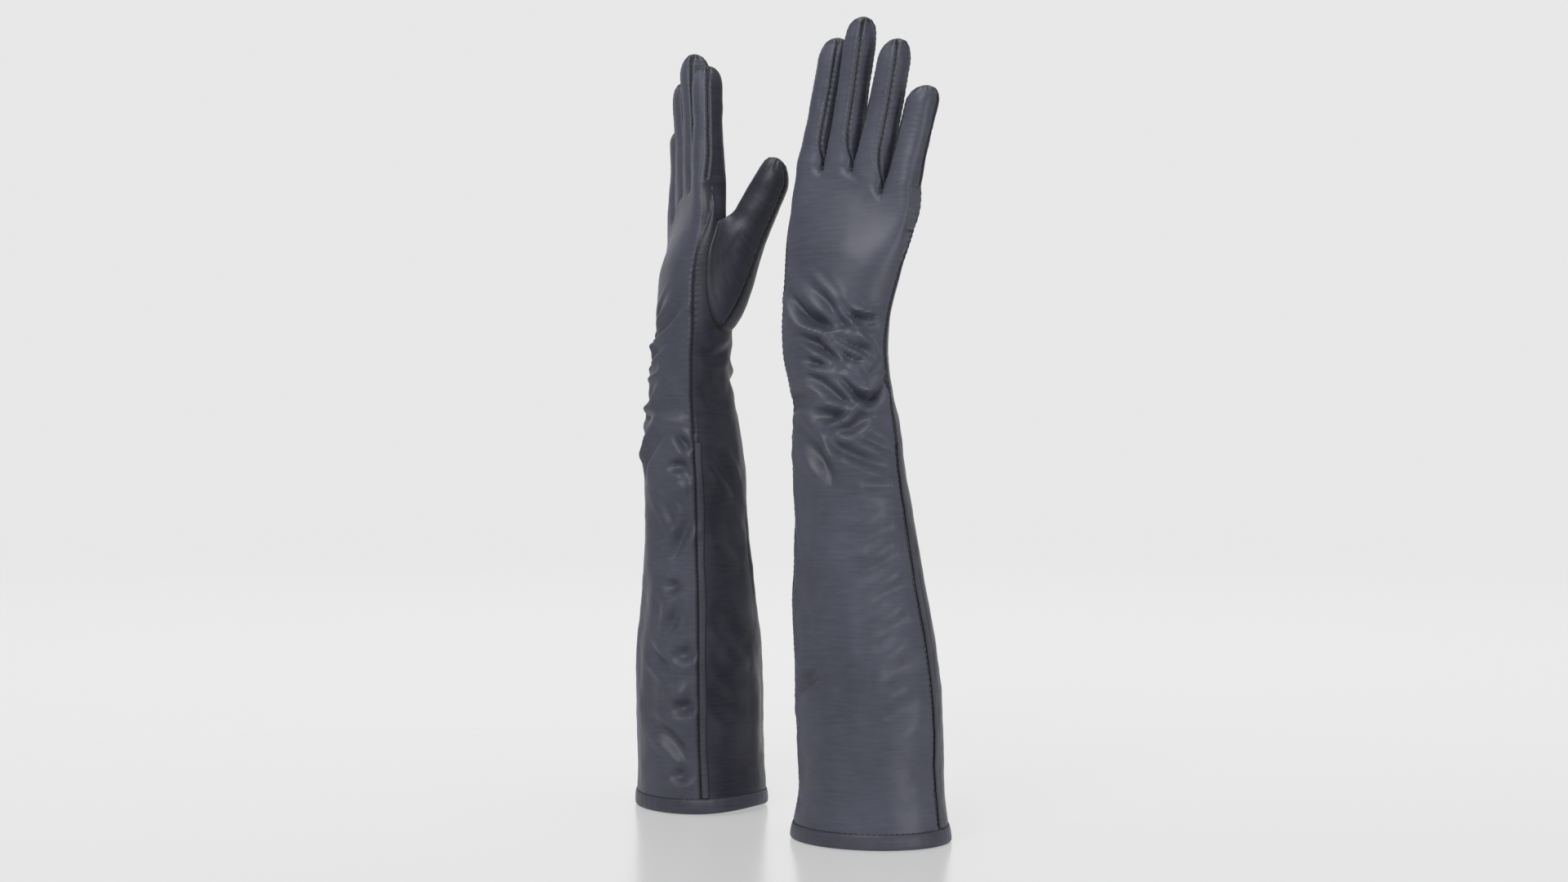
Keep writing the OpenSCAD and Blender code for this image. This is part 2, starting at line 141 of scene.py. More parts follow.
# ---- Back panels ----
# The back of a glove is one piece of stretch satin from the hem to the knuckles. It is sewn to the palm
# piece along both sides, and the spare length of the sleeve gathers in folds at the wrist.
# Each row of the tube's form holds its height, width, depth, middle across and middle toward the palm in
# millimetres, and its squareness, where 2 is an oval.
WIDTH, DEPTH, ACROSS, PALMWARD, SQUARENESS = 1, 2, 3, 4, 5
TUBE_FORM = np.array([
    (-20.0, 101.4, 81.5, 0.0, 0.0, 2.00),
    (0.0, 93.0, 80.0, 0.0, 0.0, 2.00),
    (11.8, 88.1, 79.1, 0.0, 0.0, 2.00),
    (30.7, 82.1, 77.9, 1.0, 0.0, 2.00),
    (59.0, 84.1, 79.1, 0.0, -1.0, 2.00),
    (94.4, 84.1, 77.0, -1.0, -1.5, 2.00),
    (134.5, 78.2, 69.0, -5.0, -3.0, 2.00),
    (174.6, 68.9, 63.0, -7.0, -5.0, 2.00),
    (217.1, 64.0, 62.1, -10.5, -8.0, 2.00),
    (236.0, 60.0, 57.0, -11.0, -9.0, 2.00),
    (245.0, 58.0, 54.0, -11.0, -10.0, 2.00),
    (260.0, 60.0, 50.0, -14.0, -11.0, 2.00),
    (275.0, 62.0, 47.0, -17.0, -12.0, 2.00),
    (290.0, 63.5, 46.2, -17.4, -10.0, 2.00),
    (296.0, 64.0, 46.0, -17.5, -9.0, 2.00),
    (317.8, 68.9, 41.0, -13.4, -9.0, 2.15),
    (336.0, 74.1, 36.0, -11.0, -8.5, 2.28),
    (355.2, 78.0, 31.0, -9.0, -7.5, 2.41),
    (367.3, 78.0, 28.0, -6.3, -6.0, 2.49),
    (383.0, 78.0, 26.0, -6.3, -5.0, 2.60),
    (403.0, 78.0, 23.5, -6.3, -3.7, 2.76),
])
# Each finger: middle across, half width at the root, height of the tip, lean to the little-finger side,
# lean to the palm, and whether a neighbour stands on its thumb side and on its little-finger side.
# HAND_EDGES tells how far the hand reaches past the middles of its outer two fingers.
FINGERS = {
    "index": (-33.4, 8.8, 455, 13.8, 3, False, True),
    "middle": (-15.4, 9.2, 465, 13.5, 0, True, True),
    "ring": (3.2, 9.4, 451, 16.0, 1, True, True),
    "little": (22.1, 9.5, 424, 13.0, 4, True, False),
}
HAND_EDGES = (11.9, 10.6)
# Where the fingers start, the tube's half depth, its middle toward the palm, and how far up that half
# depth the seams of the side strips lie.
ROOT_DEPTH = 10.25
ROOT_MIDDLE = -5.0
SEAM_HEIGHT = 0.49
# The side seams lie a little to the back of the sides: the angle round the tube at each height, where
# 0 is the little-finger side, 90 the palm, 180 the thumb side and 270 the back.
SEAM_HEIGHTS = (0, 60, 150, 200, 240, 265, 300, 330, 360, 383)
THUMB_SIDE_SEAM = (198, 198, 199, 196, 196, 198, 206, 207, 203, 193)
LITTLE_SIDE_SEAM = (-7, -7, -10, -7, -3, -1, 0, 2, 3, 3)
# Folds: depth below the cloth (or rise above it), width, and the line that each follows, as pairs of
# angle and height.
FOLDS = [
    (-3.0, 3.4, [(222, 312), (238, 302), (258, 294), (280, 290), (307, 288)]),
    (-1.9, 2.7, [(262, 312), (280, 302), (298, 293), (306, 290)]),
    (-1.9, 2.2, [(292, 303), (307, 296), (320, 293), (343, 294)]),
    (-1.4, 1.9, [(317, 289), (330, 288), (345, 289)]),
    (-1.8, 2.1, [(285, 283), (305, 279), (323, 276), (334, 274)]),
    (-2.1, 2.7, [(240, 286), (268, 280), (288, 273), (297, 269)]),
    (-1.4, 2.4, [(250, 271), (268, 268), (288, 268)]),
    (-1.8, 2.0, [(288, 277), (302, 273), (316, 269), (333, 271)]),
    (-3.2, 2.6, [(288, 261), (302, 256), (316, 249), (326, 248), (341, 253), (357, 262)]),
    (-2.2, 2.9, [(252, 263), (276, 255), (293, 249), (312, 245)]),
    (-1.6, 2.8, [(252, 240), (278, 239), (302, 241)]),
    (-1.7, 2.8, [(280, 232), (299, 232), (313, 237), (328, 242)]),
    (-1.6, 2.9, [(272, 225), (292, 220), (312, 215), (342, 210)]),
    (-1.7, 3.6, [(230, 235), (256, 221), (271, 211), (279, 201)]),
    (-1.1, 2.3, [(318, 267), (330, 262), (350, 268)]),
    (1.2, 2.2, [(205, 309), (229, 299), (251, 290), (272, 286), (284, 285)]),
    (1.3, 1.7, [(255, 319), (277, 307), (294, 297), (307, 291), (312, 286)]),
    (1.4, 1.5, [(312, 287), (294, 286), (283, 284), (280, 280), (287, 276), (297, 271), (293, 267),
                (283, 263)]),
    (1.3, 1.5, [(290, 305), (303, 299), (315, 297), (329, 297), (344, 298)]),
    (1.2, 1.4, [(313, 287), (322, 282), (336, 276), (343, 272)]),
    (0.9, 1.4, [(303, 271.5), (317, 268), (336, 270)]),
    (1.5, 1.5, [(280, 263), (297, 261), (306, 257), (314, 253.5), (325, 252.5), (338, 256), (352, 263)]),
    (1.0, 2.0, [(250, 266), (269, 264), (284, 262)]),
    (1.2, 2.0, [(244, 247), (276, 245), (300, 243), (324, 249)]),
    (1.0, 2.0, [(313, 243), (299, 238), (282, 234), (270, 229)]),
    (0.8, 2.4, [(268, 230), (277, 218), (281, 208)]),
    (-0.8, 2.6, [(302, 229), (330, 223), (350, 218)]),
    (-0.7, 2.2, [(303, 201), (322, 200), (343, 200)]),
    (-0.8, 3.2, [(294, 167), (315, 172), (340, 180)]),
    (-0.9, 3.2, [(294, 150), (316, 156), (340, 166)]),
    (-0.9, 3.4, [(300, 133), (320, 141), (342, 149)]),
    (-0.8, 3.4, [(296, 112), (318, 121), (340, 128)]),
    (-0.7, 3.6, [(300, 92), (322, 99), (342, 104)]),
    (-0.7, 4.0, [(290, 68), (316, 74), (338, 84)]),
    (-0.6, 4.0, [(268, 60), (270, 100), (267, 150)]),
    (-0.6, 4.4, [(246, 40), (250, 90), (248, 130)]),
    (-1.7, 3.4, [(262, 248), (236, 247), (201, 244)]),
    (-1.6, 2.4, [(218, 228), (208, 224), (199, 219)]),
    (-1.9, 2.8, [(230, 209), (214, 210), (201, 208)]),
    (-1.0, 2.2, [(248, 195), (232, 183), (215, 169)]),
    (-1.8, 2.4, [(203, 178), (215, 167), (228, 151)]),
    (-1.9, 2.6, [(240, 140), (226, 137), (212, 139)]),
    (-1.2, 2.2, [(217, 131), (223, 117), (231, 107)]),
    (-1.8, 2.6, [(224, 98), (212, 96), (200, 99)]),
    (-1.7, 2.4, [(254, 98), (238, 91), (222, 86)]),
    (-1.9, 2.6, [(222, 66), (211, 64), (201, 68)]),
    (-1.8, 2.8, [(248, 54), (225, 45), (205, 31)]),
    (-1.6, 2.4, [(226, 25), (216, 23), (206, 27)]),
    (1.2, 3.4, [(262, 237), (232, 236), (200, 236)]),
    (1.1, 2.8, [(226, 199), (212, 197), (201, 194)]),
    (1.2, 3.0, [(232, 74), (220, 72), (206, 78)]),
    (1.0, 3.0, [(240, 122), (226, 124), (212, 128)]),
    (-1.2, 3.4, [(186, 260), (165, 252), (140, 247)]),
    (-1.5, 3.0, [(190, 282), (168, 276), (142, 279), (118, 284)]),
    (-1.5, 3.2, [(40, 262), (70, 256), (100, 259), (130, 266)]),
    (-1.7, 3.2, [(12, 250), (44, 243), (80, 244), (108, 249)]),
    (-1.4, 3.0, [(30, 280), (60, 274), (96, 276)]),
    (-1.3, 3.0, [(60, 292), (92, 289), (128, 294)]),
    (1.1, 2.4, [(34, 270), (66, 266), (100, 268), (132, 274)]),
    (1.1, 2.4, [(24, 256), (56, 250), (92, 252)]),
    (-1.2, 3.6, [(176, 220), (158, 206), (142, 190)]),
    (-1.1, 3.8, [(172, 176), (156, 164), (138, 156)]),
    (-1.2, 4.0, [(184, 128), (168, 116), (150, 108)]),
    (-1.1, 4.0, [(188, 78), (172, 66), (152, 60)]),
    (1.0, 3.6, [(178, 102), (162, 92), (146, 88)]),
    (-1.0, 4.2, [(20, 214), (44, 200), (72, 190)]),
    (-1.0, 4.4, [(14, 160), (40, 146), (66, 140)]),
    (-0.9, 4.6, [(18, 104), (44, 92), (70, 88)]),
    (-0.9, 4.8, [(96, 190), (102, 150), (98, 110)]),
    (-0.8, 5.0, [(120, 100), (114, 60), (118, 30)]),
]


def ease(x):
    """A smooth step from 0 to 1."""
    x = np.clip(x, 0, 1)
    return x * x * (3 - 2 * x)


def powered(x, power):
    return np.sign(x) * np.abs(x) ** power


def tube_size(height, column):
    """One measure of the tube at a height, with its corners rounded off."""
    taps = ((-12, 0.08), (-8, 0.16), (-4, 0.16), (0, 0.20), (4, 0.16), (8, 0.16), (12, 0.08))
    levels, sizes = TUBE_FORM[:, 0], TUBE_FORM[:, column]
    return sum(share * np.interp(height + step, levels, sizes) for step, share in taps)


def crown(across):
    """The height at which the fingers start, across the hand."""
    crotches = (-45.3, -24.6, -6.2, 12.6, 32.7)
    return np.interp(across, crotches, (381, 380.5, 379, 365.5, 367))


def soft_crown(across):
    """The same height with its corners rounded off."""
    return sum(crown(across + step) for step in (-12, -9, -6, -3, 0, 3, 6, 9, 12)) / 9


def root_profile(across):
    """Along the line where the fingers start: the place across, and the cloth's height with and without
    the dips between the fingers."""
    (index, index_half), (little, little_half) = FINGERS["index"][:2], FINGERS["little"][:2]
    narrowed = index + (across - index) * index_half / HAND_EDGES[0]
    across = np.where(across < index, narrowed, across)
    narrowed = little + (across - little) * little_half / HAND_EDGES[1]
    across = np.where(across > little, narrowed, across)
    rise, level = np.zeros_like(across), np.zeros_like(across)
    for middle, half, *_, thumb_side, little_side in FINGERS.values():
        x = (across - middle) / half
        arch = np.clip(1 - np.abs(x) ** 3, 0, 1) ** (1 / 3)
        low = np.where((x < 0) & thumb_side | (x > 0) & little_side, SEAM_HEIGHT, 0)
        here = np.abs(x) <= 1
        rise = np.where(here, np.maximum(arch, low), rise)
        level = np.where(here, np.where(low > 0, 1, arch), level)
    return across, rise, level


def bare_tube(angle, height):
    """A point of the right glove's tube without folds, in millimetres."""
    turn = np.radians(angle)
    square = 2 / tube_size(height, SQUARENESS)
    half_width, half_depth = tube_size(height, WIDTH) / 2, tube_size(height, DEPTH) / 2
    across = tube_size(height, ACROSS) + half_width * powered(np.cos(turn), square)
    face = powered(np.sin(turn), square)
    palmward = tube_size(height, PALMWARD) + half_depth * face
    # The tube's width, its depth and the dips between fingers each take on the shape of the fingers'
    # roots over their own length below them.
    width_blend, depth_blend, dip_blend = 20, 48, 7
    below, wide_below = crown(across) - height, soft_crown(across) - height
    root_across, rise, level = root_profile(across)
    across = across + (root_across - across) * ease(1 - wide_below / width_blend)
    flat = ROOT_MIDDLE + ROOT_DEPTH * level * np.sign(face)
    palmward = palmward + (flat - palmward) * ease(1 - wide_below / depth_blend)
    dip = ROOT_DEPTH * (rise - level) * np.sign(face)
    palmward = palmward + dip * ease(1 - below / dip_blend) ** 1.5
    return np.stack([across, palmward, height], -1)


def fold_lines():
    """Every fold as closely spaced points on the laid-out cloth, with its share of the full depth."""
    lines = []
    for depth, width, path in FOLDS:
        path = np.array(path, float)
        ends = np.vstack([2 * path[0] - path[1], path, 2 * path[-1] - path[-2]])
        points = []
        for i in range(len(path) - 1):
            a, b, c, d = ends[i:i + 4]
            for t in np.arange(0, 1, 0.1):
                square_term = (2 * a - 5 * b + 4 * c - d) * t ** 2
                cube_term = (3 * b - a - 3 * c + d) * t ** 3
                points.append(0.5 * (2 * b + (c - a) * t + square_term + cube_term))
        points = np.array(points + [path[-1]])
        share = np.sin(np.pi * np.linspace(0.03, 0.97, len(points))) ** 1.1
        lines.append((depth, width, points, share))
    return lines


FOLD_LINES = fold_lines()


def roughen(points, size, seed):
    """Smooth noise at each point, from about -1 to 1; size is the width of one lump in millimetres."""
    shift = Vector((seed, 0, 0))
    lumps = [noise.noise(Vector(p) / size + shift) for p in points.reshape(-1, 3)]
    return np.array(lumps).reshape(points.shape[:-1])


def fold_rise(angle, height, side):
    """How far folds lift the cloth at an angle and a height, in millimetres."""
    per_degree = (tube_size(height, WIDTH) + tube_size(height, DEPTH)) / 4 * math.pi / 180
    total = np.zeros_like(height)
    for depth, width, points, share in FOLD_LINES:
        fold_angles, fold_heights = points[:, 0], points[:, 1]
        middle, level = fold_angles.mean(), fold_heights.mean()
        # The sleeve's folds are broad and deep. The wrist's are narrow, and deeper on the right glove,
        # but it has hardly any along its thumb side.
        width = width * (1.5 if level < 205 else 1.12)
        strength = 2.4 if level < 228 else 2.1 if side == "right" else 1.3
        if side == "right" and middle < 232 and level < 270:
            strength = 0.45
        reach = 3.2 * width
        near = (height > fold_heights.min() - reach) & (height < fold_heights.max() + reach)
        span = (angle - middle + 180) % 360 - 180
        near &= np.abs(span) < np.ptp(fold_angles) / 2 + 25
        if not near.any():
            continue
        scale = per_degree[near][:, None]
        along = span[near][:, None] * scale - (fold_angles - middle)[None] * scale
        up = height[near][:, None] - fold_heights[None]
        distance = np.hypot(along, up)
        nearest = distance.argmin(1)
        d = distance[np.arange(len(nearest)), nearest] / width
        shape = np.exp(-d ** 2) - 0.32 * np.exp(-((d - 2.0) / 0.8) ** 2)
        total[near] += strength * depth * share[nearest] * shape
    return total


def skin(angle, height, out=0.0, side="right"):
    """A point of the right glove's finished cloth, with its folds, and out millimetres above it."""
    angle, height = np.broadcast_arrays(np.asarray(angle, float), np.asarray(height, float))
    base = bare_tube(angle, height)
    round_it = bare_tube(angle + 1.0, height) - bare_tube(angle - 1.0, height)
    up = bare_tube(angle, height + 0.8) - bare_tube(angle, height - 0.8)
    normal = np.cross(round_it, up)
    normal /= np.linalg.norm(normal, axis=-1, keepdims=True)
    calm = ease((crown(base[..., 0]) - height - 1) / 14) * ease((height - 2) / 14)
    lumps = 0.75 * roughen(base * (1, 1, 0.7), 19, 3) + 0.30 * roughen(base, 8, 11)
    loose = 0.35 + 0.65 * ease((300 - height) / 40)
    rise = (fold_rise(angle, height, side) + lumps * loose) * calm
    # The cuff's edge doesn't lie quite flat on the floor: on the palm side it is lifted a little.
    from_lift = (angle + 35) % 360 - 180
    lifted = 2.6 * np.exp(-(from_lift / 38) ** 2) * ease(1 - height / 28)
    return base + normal * (rise + out)[..., None] + lifted[..., None] * np.array([0, 0, 1.0])


# The thumb's opening is a rounded oval: the angle and height of its middle, half its size in each, and
# its squareness.
OPENING_ANGLE, OPENING_HEIGHT = 143, 325
OPENING_HALF_ANGLE, OPENING_HALF_HEIGHT = 41, 34
OPENING_SQUARENESS = 2.6


def thumb_hole(angle, height):
    """How far a point lies from the middle of the thumb's opening: below 1 it is inside."""
    around = np.abs((angle - OPENING_ANGLE) / OPENING_HALF_ANGLE) ** OPENING_SQUARENESS
    up = np.abs((height - OPENING_HEIGHT) / OPENING_HALF_HEIGHT) ** OPENING_SQUARENESS
    return (around + up) ** (1 / OPENING_SQUARENESS)


STITCH_STEP, PUCKER_STEP = 3.1, 3.4


def seam_dip(distance, along, seed, puckered=0.20):
    """The groove that a seam's tight stitches pull into the cloth, with the small puckers beside it."""
    groove = -0.75 * np.exp(-(distance / 0.9) ** 2) + 0.28 * np.exp(-((distance - 2.2) / 1.1) ** 2)
    pucker = np.sin(along * 2 * math.pi / PUCKER_STEP + 2.2 * np.sin(along / 7.0 + seed) + seed)
    return groove + puckered * pucker * np.exp(-((distance - 1.6) / 1.8) ** 2)


def seam_shade_and_stitches(along):
    """How dark a seam looks along its length: painted shade of its groove, with its stitches showing as
    short, even marks.
    """
    return 0.85 + 0.15 * np.sin(along * 2 * math.pi / STITCH_STEP)


def columns_by_length(rows, count):
    """Angles that share out each row of a strip evenly by length. A row is a list of angles and points."""
    spread, lengths = [], []
    for angles, points in rows:
        steps = np.r_[0, np.cumsum(np.linalg.norm(np.diff(points, axis=0), axis=1))]
        spread.append(np.interp(np.linspace(0, steps[-1], count), steps, angles))
        lengths.append(steps[-1])
    return np.array(spread), np.array(lengths)


def stand(points, side):
    """From the right glove's own frame to its place in the pair; the left one is its mirror."""
    turn, aside, back = math.radians(22), 78, 0.5
    x, y, z = points[..., 0], points[..., 1], points[..., 2]
    placed = np.stack([
        (aside + x * math.cos(turn) - y * math.sin(turn)) * (-1 if side == "left" else 1),
        back + x * math.sin(turn) + y * math.cos(turn),
        z,
    ], -1)
    return placed / 1000


def sew(name, points, lengths, heights, side, material, dark=None, cut=None, wall=0.6):
    """A piece of cloth: a flat grid is laid out, shaped row by row, trimmed, and given its thickness. dark
    is painted shade, how deep in shade each point lies, which darkens the cloth's colour; cut tells which
    of the grid's squares are taken out."""
    rows, columns = points.shape[:2]
    bpy.ops.object.select_all(action="DESELECT")
    bpy.ops.mesh.primitive_grid_add(x_subdivisions=columns - 1, y_subdivisions=rows - 1, size=0.1)
    piece = bpy.context.object
    piece.name = f"{side}_{name}"
    piece.data.name = piece.name
    mesh = piece.data
    mesh.vertices.foreach_set("co", stand(points, side).reshape(-1).astype(np.float32))
    cloth = np.zeros((rows, columns, 2))
    cloth[..., 0] = np.linspace(-0.5, 0.5, columns)[None] * lengths[:, None] / 1000
    cloth[..., 1] = heights / 1000
    corner = np.empty(len(mesh.loops), int)
    mesh.loops.foreach_get("vertex_index", corner)
    layer = mesh.uv_layers.active or mesh.uv_layers.new()
    layer.name = "cloth"
    layer.data.foreach_set("uv", cloth.reshape(-1, 2)[corner].reshape(-1))
    # The painted shade is kept on each point, for the material to darken the colour with.
    shade = mesh.attributes.new("painted_shade", "FLOAT", "POINT")
    depth = np.zeros((rows, columns)) if dark is None else np.clip(dark, 0, 1)
    shade.data.foreach_set("value", depth.reshape(-1))
    bpy.ops.object.mode_set(mode="EDIT")
    bpy.ops.mesh.select_all(action="DESELECT")
    if cut is not None:
        bpy.ops.mesh.select_mode(type="FACE")
        bpy.ops.object.mode_set(mode="OBJECT")
        mesh.polygons.foreach_set("select", cut.reshape(-1))
        bpy.ops.object.mode_set(mode="EDIT")
        bpy.ops.mesh.delete(type="FACE")
    bpy.ops.mesh.select_mode(type="VERT")
    bpy.ops.mesh.select_all(action="SELECT")
    bpy.ops.mesh.remove_doubles(threshold=0.000004)
    if side == "left":
        bpy.ops.mesh.flip_normals()
    bpy.ops.object.mode_set(mode="OBJECT")
    if wall:
        thick = piece.modifiers.new("wall", "SOLIDIFY")
        thick.thickness = wall / 1000
        thick.offset = -1
        bpy.ops.object.modifier_apply(modifier=thick.name)
    bpy.ops.object.shade_smooth_by_angle(angle=math.radians(50))
    piece.data.materials.append(material)
    return piece


def satin(name, tone, deep_tone, roughness):
    """Stretch satin: fine threads run across the cloth and catch the light in short, broken streaks, which
    are bumps and roughness and also a lighter colour, a painted sheen.
    """
    material = bpy.data.materials.new(name)
    material.use_nodes = True
    nodes, links = material.node_tree.nodes, material.node_tree.links
    surface = nodes["Principled BSDF"]
    surface.inputs["Sheen Weight"].default_value = 0.12
    surface.inputs["Sheen Roughness"].default_value = 0.35
    surface.inputs["Sheen Tint"].default_value = (0.80, 0.84, 1.0, 1)
    surface.inputs["Specular IOR Level"].default_value = 0.42
    cloth = nodes.new("ShaderNodeUVMap")
    cloth.uv_map = "cloth"

    def drawn_out(per_metre, detail):
        """Noise with so many marks in a metre across the cloth and in a metre along it."""
        scale = nodes.new("ShaderNodeMapping")
        scale.inputs["Scale"].default_value = (*per_metre, 1)
        marks = nodes.new("ShaderNodeTexNoise")
        marks.inputs["Scale"].default_value = 1
        marks.inputs["Detail"].default_value = detail
        links.new(cloth.outputs["UV"], scale.inputs["Vector"])
        links.new(scale.outputs["Vector"], marks.inputs["Vector"])
        return marks

    threads, slubs = drawn_out((120, 2600), 2), drawn_out((70, 620), 3)
    place = nodes.new("ShaderNodeTexCoord")
    patches = nodes.new("ShaderNodeTexNoise")
    patches.inputs["Scale"].default_value = 26
    patches.inputs["Detail"].default_value = 4
    patches.inputs["Roughness"].default_value = 0.6
    links.new(place.outputs["Object"], patches.inputs["Vector"])
    streaks = nodes.new("ShaderNodeMath")
    streaks.operation = "MULTIPLY_ADD"
    streaks.inputs[1].default_value = 0.55
    links.new(slubs.outputs["Fac"], streaks.inputs[0])
    links.new(patches.outputs["Fac"], streaks.inputs[2])
    # The colour runs from deep_tone to tone with the broad patches, the cloth's uneven tone, and with the
    # streaks, whose lighter colour is painted sheen.
    tone_and_streak_sheen = nodes.new("ShaderNodeValToRGB")
    tone_and_streak_sheen.color_ramp.elements[0].position = 0.55
    tone_and_streak_sheen.color_ramp.elements[0].color = (*deep_tone, 1)
    tone_and_streak_sheen.color_ramp.elements[1].position = 1.00
    tone_and_streak_sheen.color_ramp.elements[1].color = (*tone, 1)
    links.new(streaks.outputs["Value"], tone_and_streak_sheen.inputs["Fac"])
    # Painted shade: the point attribute of painted shade mixes the colour toward near black.
    painted_shade = nodes.new("ShaderNodeAttribute")
    painted_shade.attribute_name = "painted_shade"
    # Of this node's sockets, 0 is the factor, 6 and 7 are the two colours, and output 2 is their mix.
    painted_shade_mix = nodes.new("ShaderNodeMix")
    painted_shade_mix.data_type = "RGBA"
    painted_shade_mix.inputs[7].default_value = (0.006, 0.006, 0.009, 1)
    links.new(painted_shade.outputs["Fac"], painted_shade_mix.inputs[0])
    links.new(tone_and_streak_sheen.outputs["Color"], painted_shade_mix.inputs[6])
    links.new(painted_shade_mix.outputs[2], surface.inputs["Base Color"])
    polish = nodes.new("ShaderNodeMapRange")
    polish.inputs["To Min"].default_value = roughness - 0.06
    polish.inputs["To Max"].default_value = roughness + 0.08
    links.new(slubs.outputs["Fac"], polish.inputs["Value"])
    links.new(polish.outputs["Result"], surface.inputs["Roughness"])
    weave = nodes.new("ShaderNodeBump")
    weave.inputs["Strength"].default_value = 0.30
    weave.inputs["Distance"].default_value = 0.00010
    links.new(threads.outputs["Fac"], weave.inputs["Height"])
    ripple = nodes.new("ShaderNodeBump")
    ripple.inputs["Strength"].default_value = 0.22
    ripple.inputs["Distance"].default_value = 0.00035
    links.new(slubs.outputs["Fac"], ripple.inputs["Height"])
    links.new(weave.outputs["Normal"], ripple.inputs["Normal"])
    links.new(ripple.outputs["Normal"], surface.inputs["Normal"])
    return material


slate_satin = satin("slate_satin", (0.088, 0.092, 0.127), (0.058, 0.061, 0.086), 0.45)

# Both panels start behind the hem and end at the fingers, with closer rows where the cloth gathers.
HAND_START, PANEL_TOP = 322, 383
knuckle_rows = np.linspace(330, PANEL_TOP, 44)
panel_rows = np.r_[np.arange(7.2, 200, 1.6), np.arange(200, 330, 1.15), knuckle_rows]


def tube_panel(first_seam, last_seam, columns):
    """The angles, heights and lengths of a panel that reaches from one side seam to the other."""
    rows = []
    for height in panel_rows:
        first_angle = np.interp(height, SEAM_HEIGHTS, first_seam)
        angles = np.linspace(first_angle, np.interp(height, SEAM_HEIGHTS, last_seam), 241)
        rows.append((angles, bare_tube(angles, np.full_like(angles, min(height, 380)))))
    angles, lengths = columns_by_length(rows, columns)
    heights = np.repeat(panel_rows[:, None], columns, 1)
    # The top row is brought down to the height at which the fingers start; where that lies depends on
    # the tube's form at that same height, so it is found in a few rounds.
    ends = np.full(columns, float(PANEL_TOP))
    for _ in range(6):
        outline = powered(np.cos(np.radians(angles[-1])), 2 / tube_size(ends, SQUARENESS))
        ends = crown(tube_size(ends, ACROSS) + tube_size(ends, WIDTH) / 2 * outline)
    lowered = ease((heights - HAND_START) / (PANEL_TOP - HAND_START))
    return angles, heights + (ends[None] - PANEL_TOP) * lowered, lengths


def with_seams(angles, heights, lengths, seed, side):
    """A panel's points, with the seam's groove and puckers along both of its sides, and the painted shade
    along them.
    """
    columns = angles.shape[1]
    share = np.linspace(0, 1, columns)[None] * lengths[:, None]
    calm = ease((crown(0 * heights) + 6 - heights) / 10)
    # On the hand the seam of the thumb side is pressed flat, and hardly shows.
    flat = 1 - 0.75 * ease((heights - HAND_START) / 22)
    first_flat, last_flat = (flat, 1) if angles[0, 0] > 90 else (1, flat)
    dip = (seam_dip(share, heights, seed) * first_flat
           + seam_dip(lengths[:, None] - share, heights, seed + 2) * last_flat)
    # Painted shade darkens the colour along both seams, broken by the stitches.
    dark = (np.exp(-(share / 0.8) ** 2) * first_flat
            + np.exp(-((lengths[:, None] - share) / 0.8) ** 2) * last_flat) * seam_shade_and_stitches(heights)
    return skin(angles, heights, dip * calm, side), dark


def bend_at_wrist(piece):
    """Bakes the piece's placement into its mesh; the cloth is not turned with the hand."""
    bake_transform(piece)


PANEL_COLUMNS = 108
little_seam_ahead = tuple(360 + angle for angle in LITTLE_SIDE_SEAM)
back_angles, back_heights, back_lengths = tube_panel(THUMB_SIDE_SEAM, little_seam_ahead, PANEL_COLUMNS)
for side in ("left", "right"):
    back_points, dark = with_seams(back_angles, back_heights, back_lengths, 0.4, side)
    back_panel = sew("back_panel", back_points, back_lengths, back_heights, side, slate_satin, dark)
    bend_at_wrist(back_panel)
    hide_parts(f"{side}_sleeve_back", f"{side}_wrist_back", f"{side}_hand_back")

# ---- Palm panels ----
# The palm side is a second piece of the same satin, cut from hem to fingers like the back, with its colour
# darkened as painted shade. It has an oval opening into which the thumb is set.
# A darker copy of the back's satin: painted shade for the palm side and the thumbs.
shade_painted_palm_satin = satin("shade_painted_palm_satin", (0.042, 0.043, 0.060), (0.022, 0.023, 0.033), 0.42)
palm_angles, palm_heights, palm_lengths = tube_panel(LITTLE_SIDE_SEAM, THUMB_SIDE_SEAM, PANEL_COLUMNS)
hole_radius = thumb_hole(palm_angles, palm_heights)
# Each square of the grid whose middle lies inside the opening is cut away.
corner_sum = hole_radius[1:, 1:] + hole_radius[1:, :-1] + hole_radius[:-1, 1:] + hole_radius[:-1, :-1]
in_hole = corner_sum / 4 < 0.97
# Around the opening the cloth lies smooth, and is drawn down to the thumb's seam.
calm = ease((hole_radius - 1.0) / 0.12)[..., None]
smooth_points = bare_tube(palm_angles, palm_heights)
for side in ("left", "right"):
    palm_points, dark = with_seams(palm_angles, palm_heights, palm_lengths, 1.7, side)
    palm_points = smooth_points + (palm_points - smooth_points) * calm
    # Painted shade: a dark ring is painted round the thumb's opening, at its seam.
    dark = dark + 0.9 * np.exp(-((hole_radius - 1) * 28 / 0.9) ** 2)
    palm_panel = sew("palm_panel", palm_points, palm_lengths, palm_heights, side, shade_painted_palm_satin, dark,
                     cut=in_hole)
    bend_at_wrist(palm_panel)
    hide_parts(f"{side}_sleeve_palm", f"{side}_wrist_palm", f"{side}_hand_palm")

# ---- Fingers ----
# A finger is closed by a back strip, a palm strip and, between neighbours, narrow side strips. Their seams
# are pulled tight, so they pucker, and they are gathered into a small cap at the tip. Along the seams and
# over the cap the colour is darkened as painted shade.
# A darker copy of the back's satin: painted shade for the cloth between the fingers.
shade_painted_strip_satin = satin("shade_painted_strip_satin", (0.074, 0.077, 0.107), (0.046, 0.048, 0.067), 0.45)


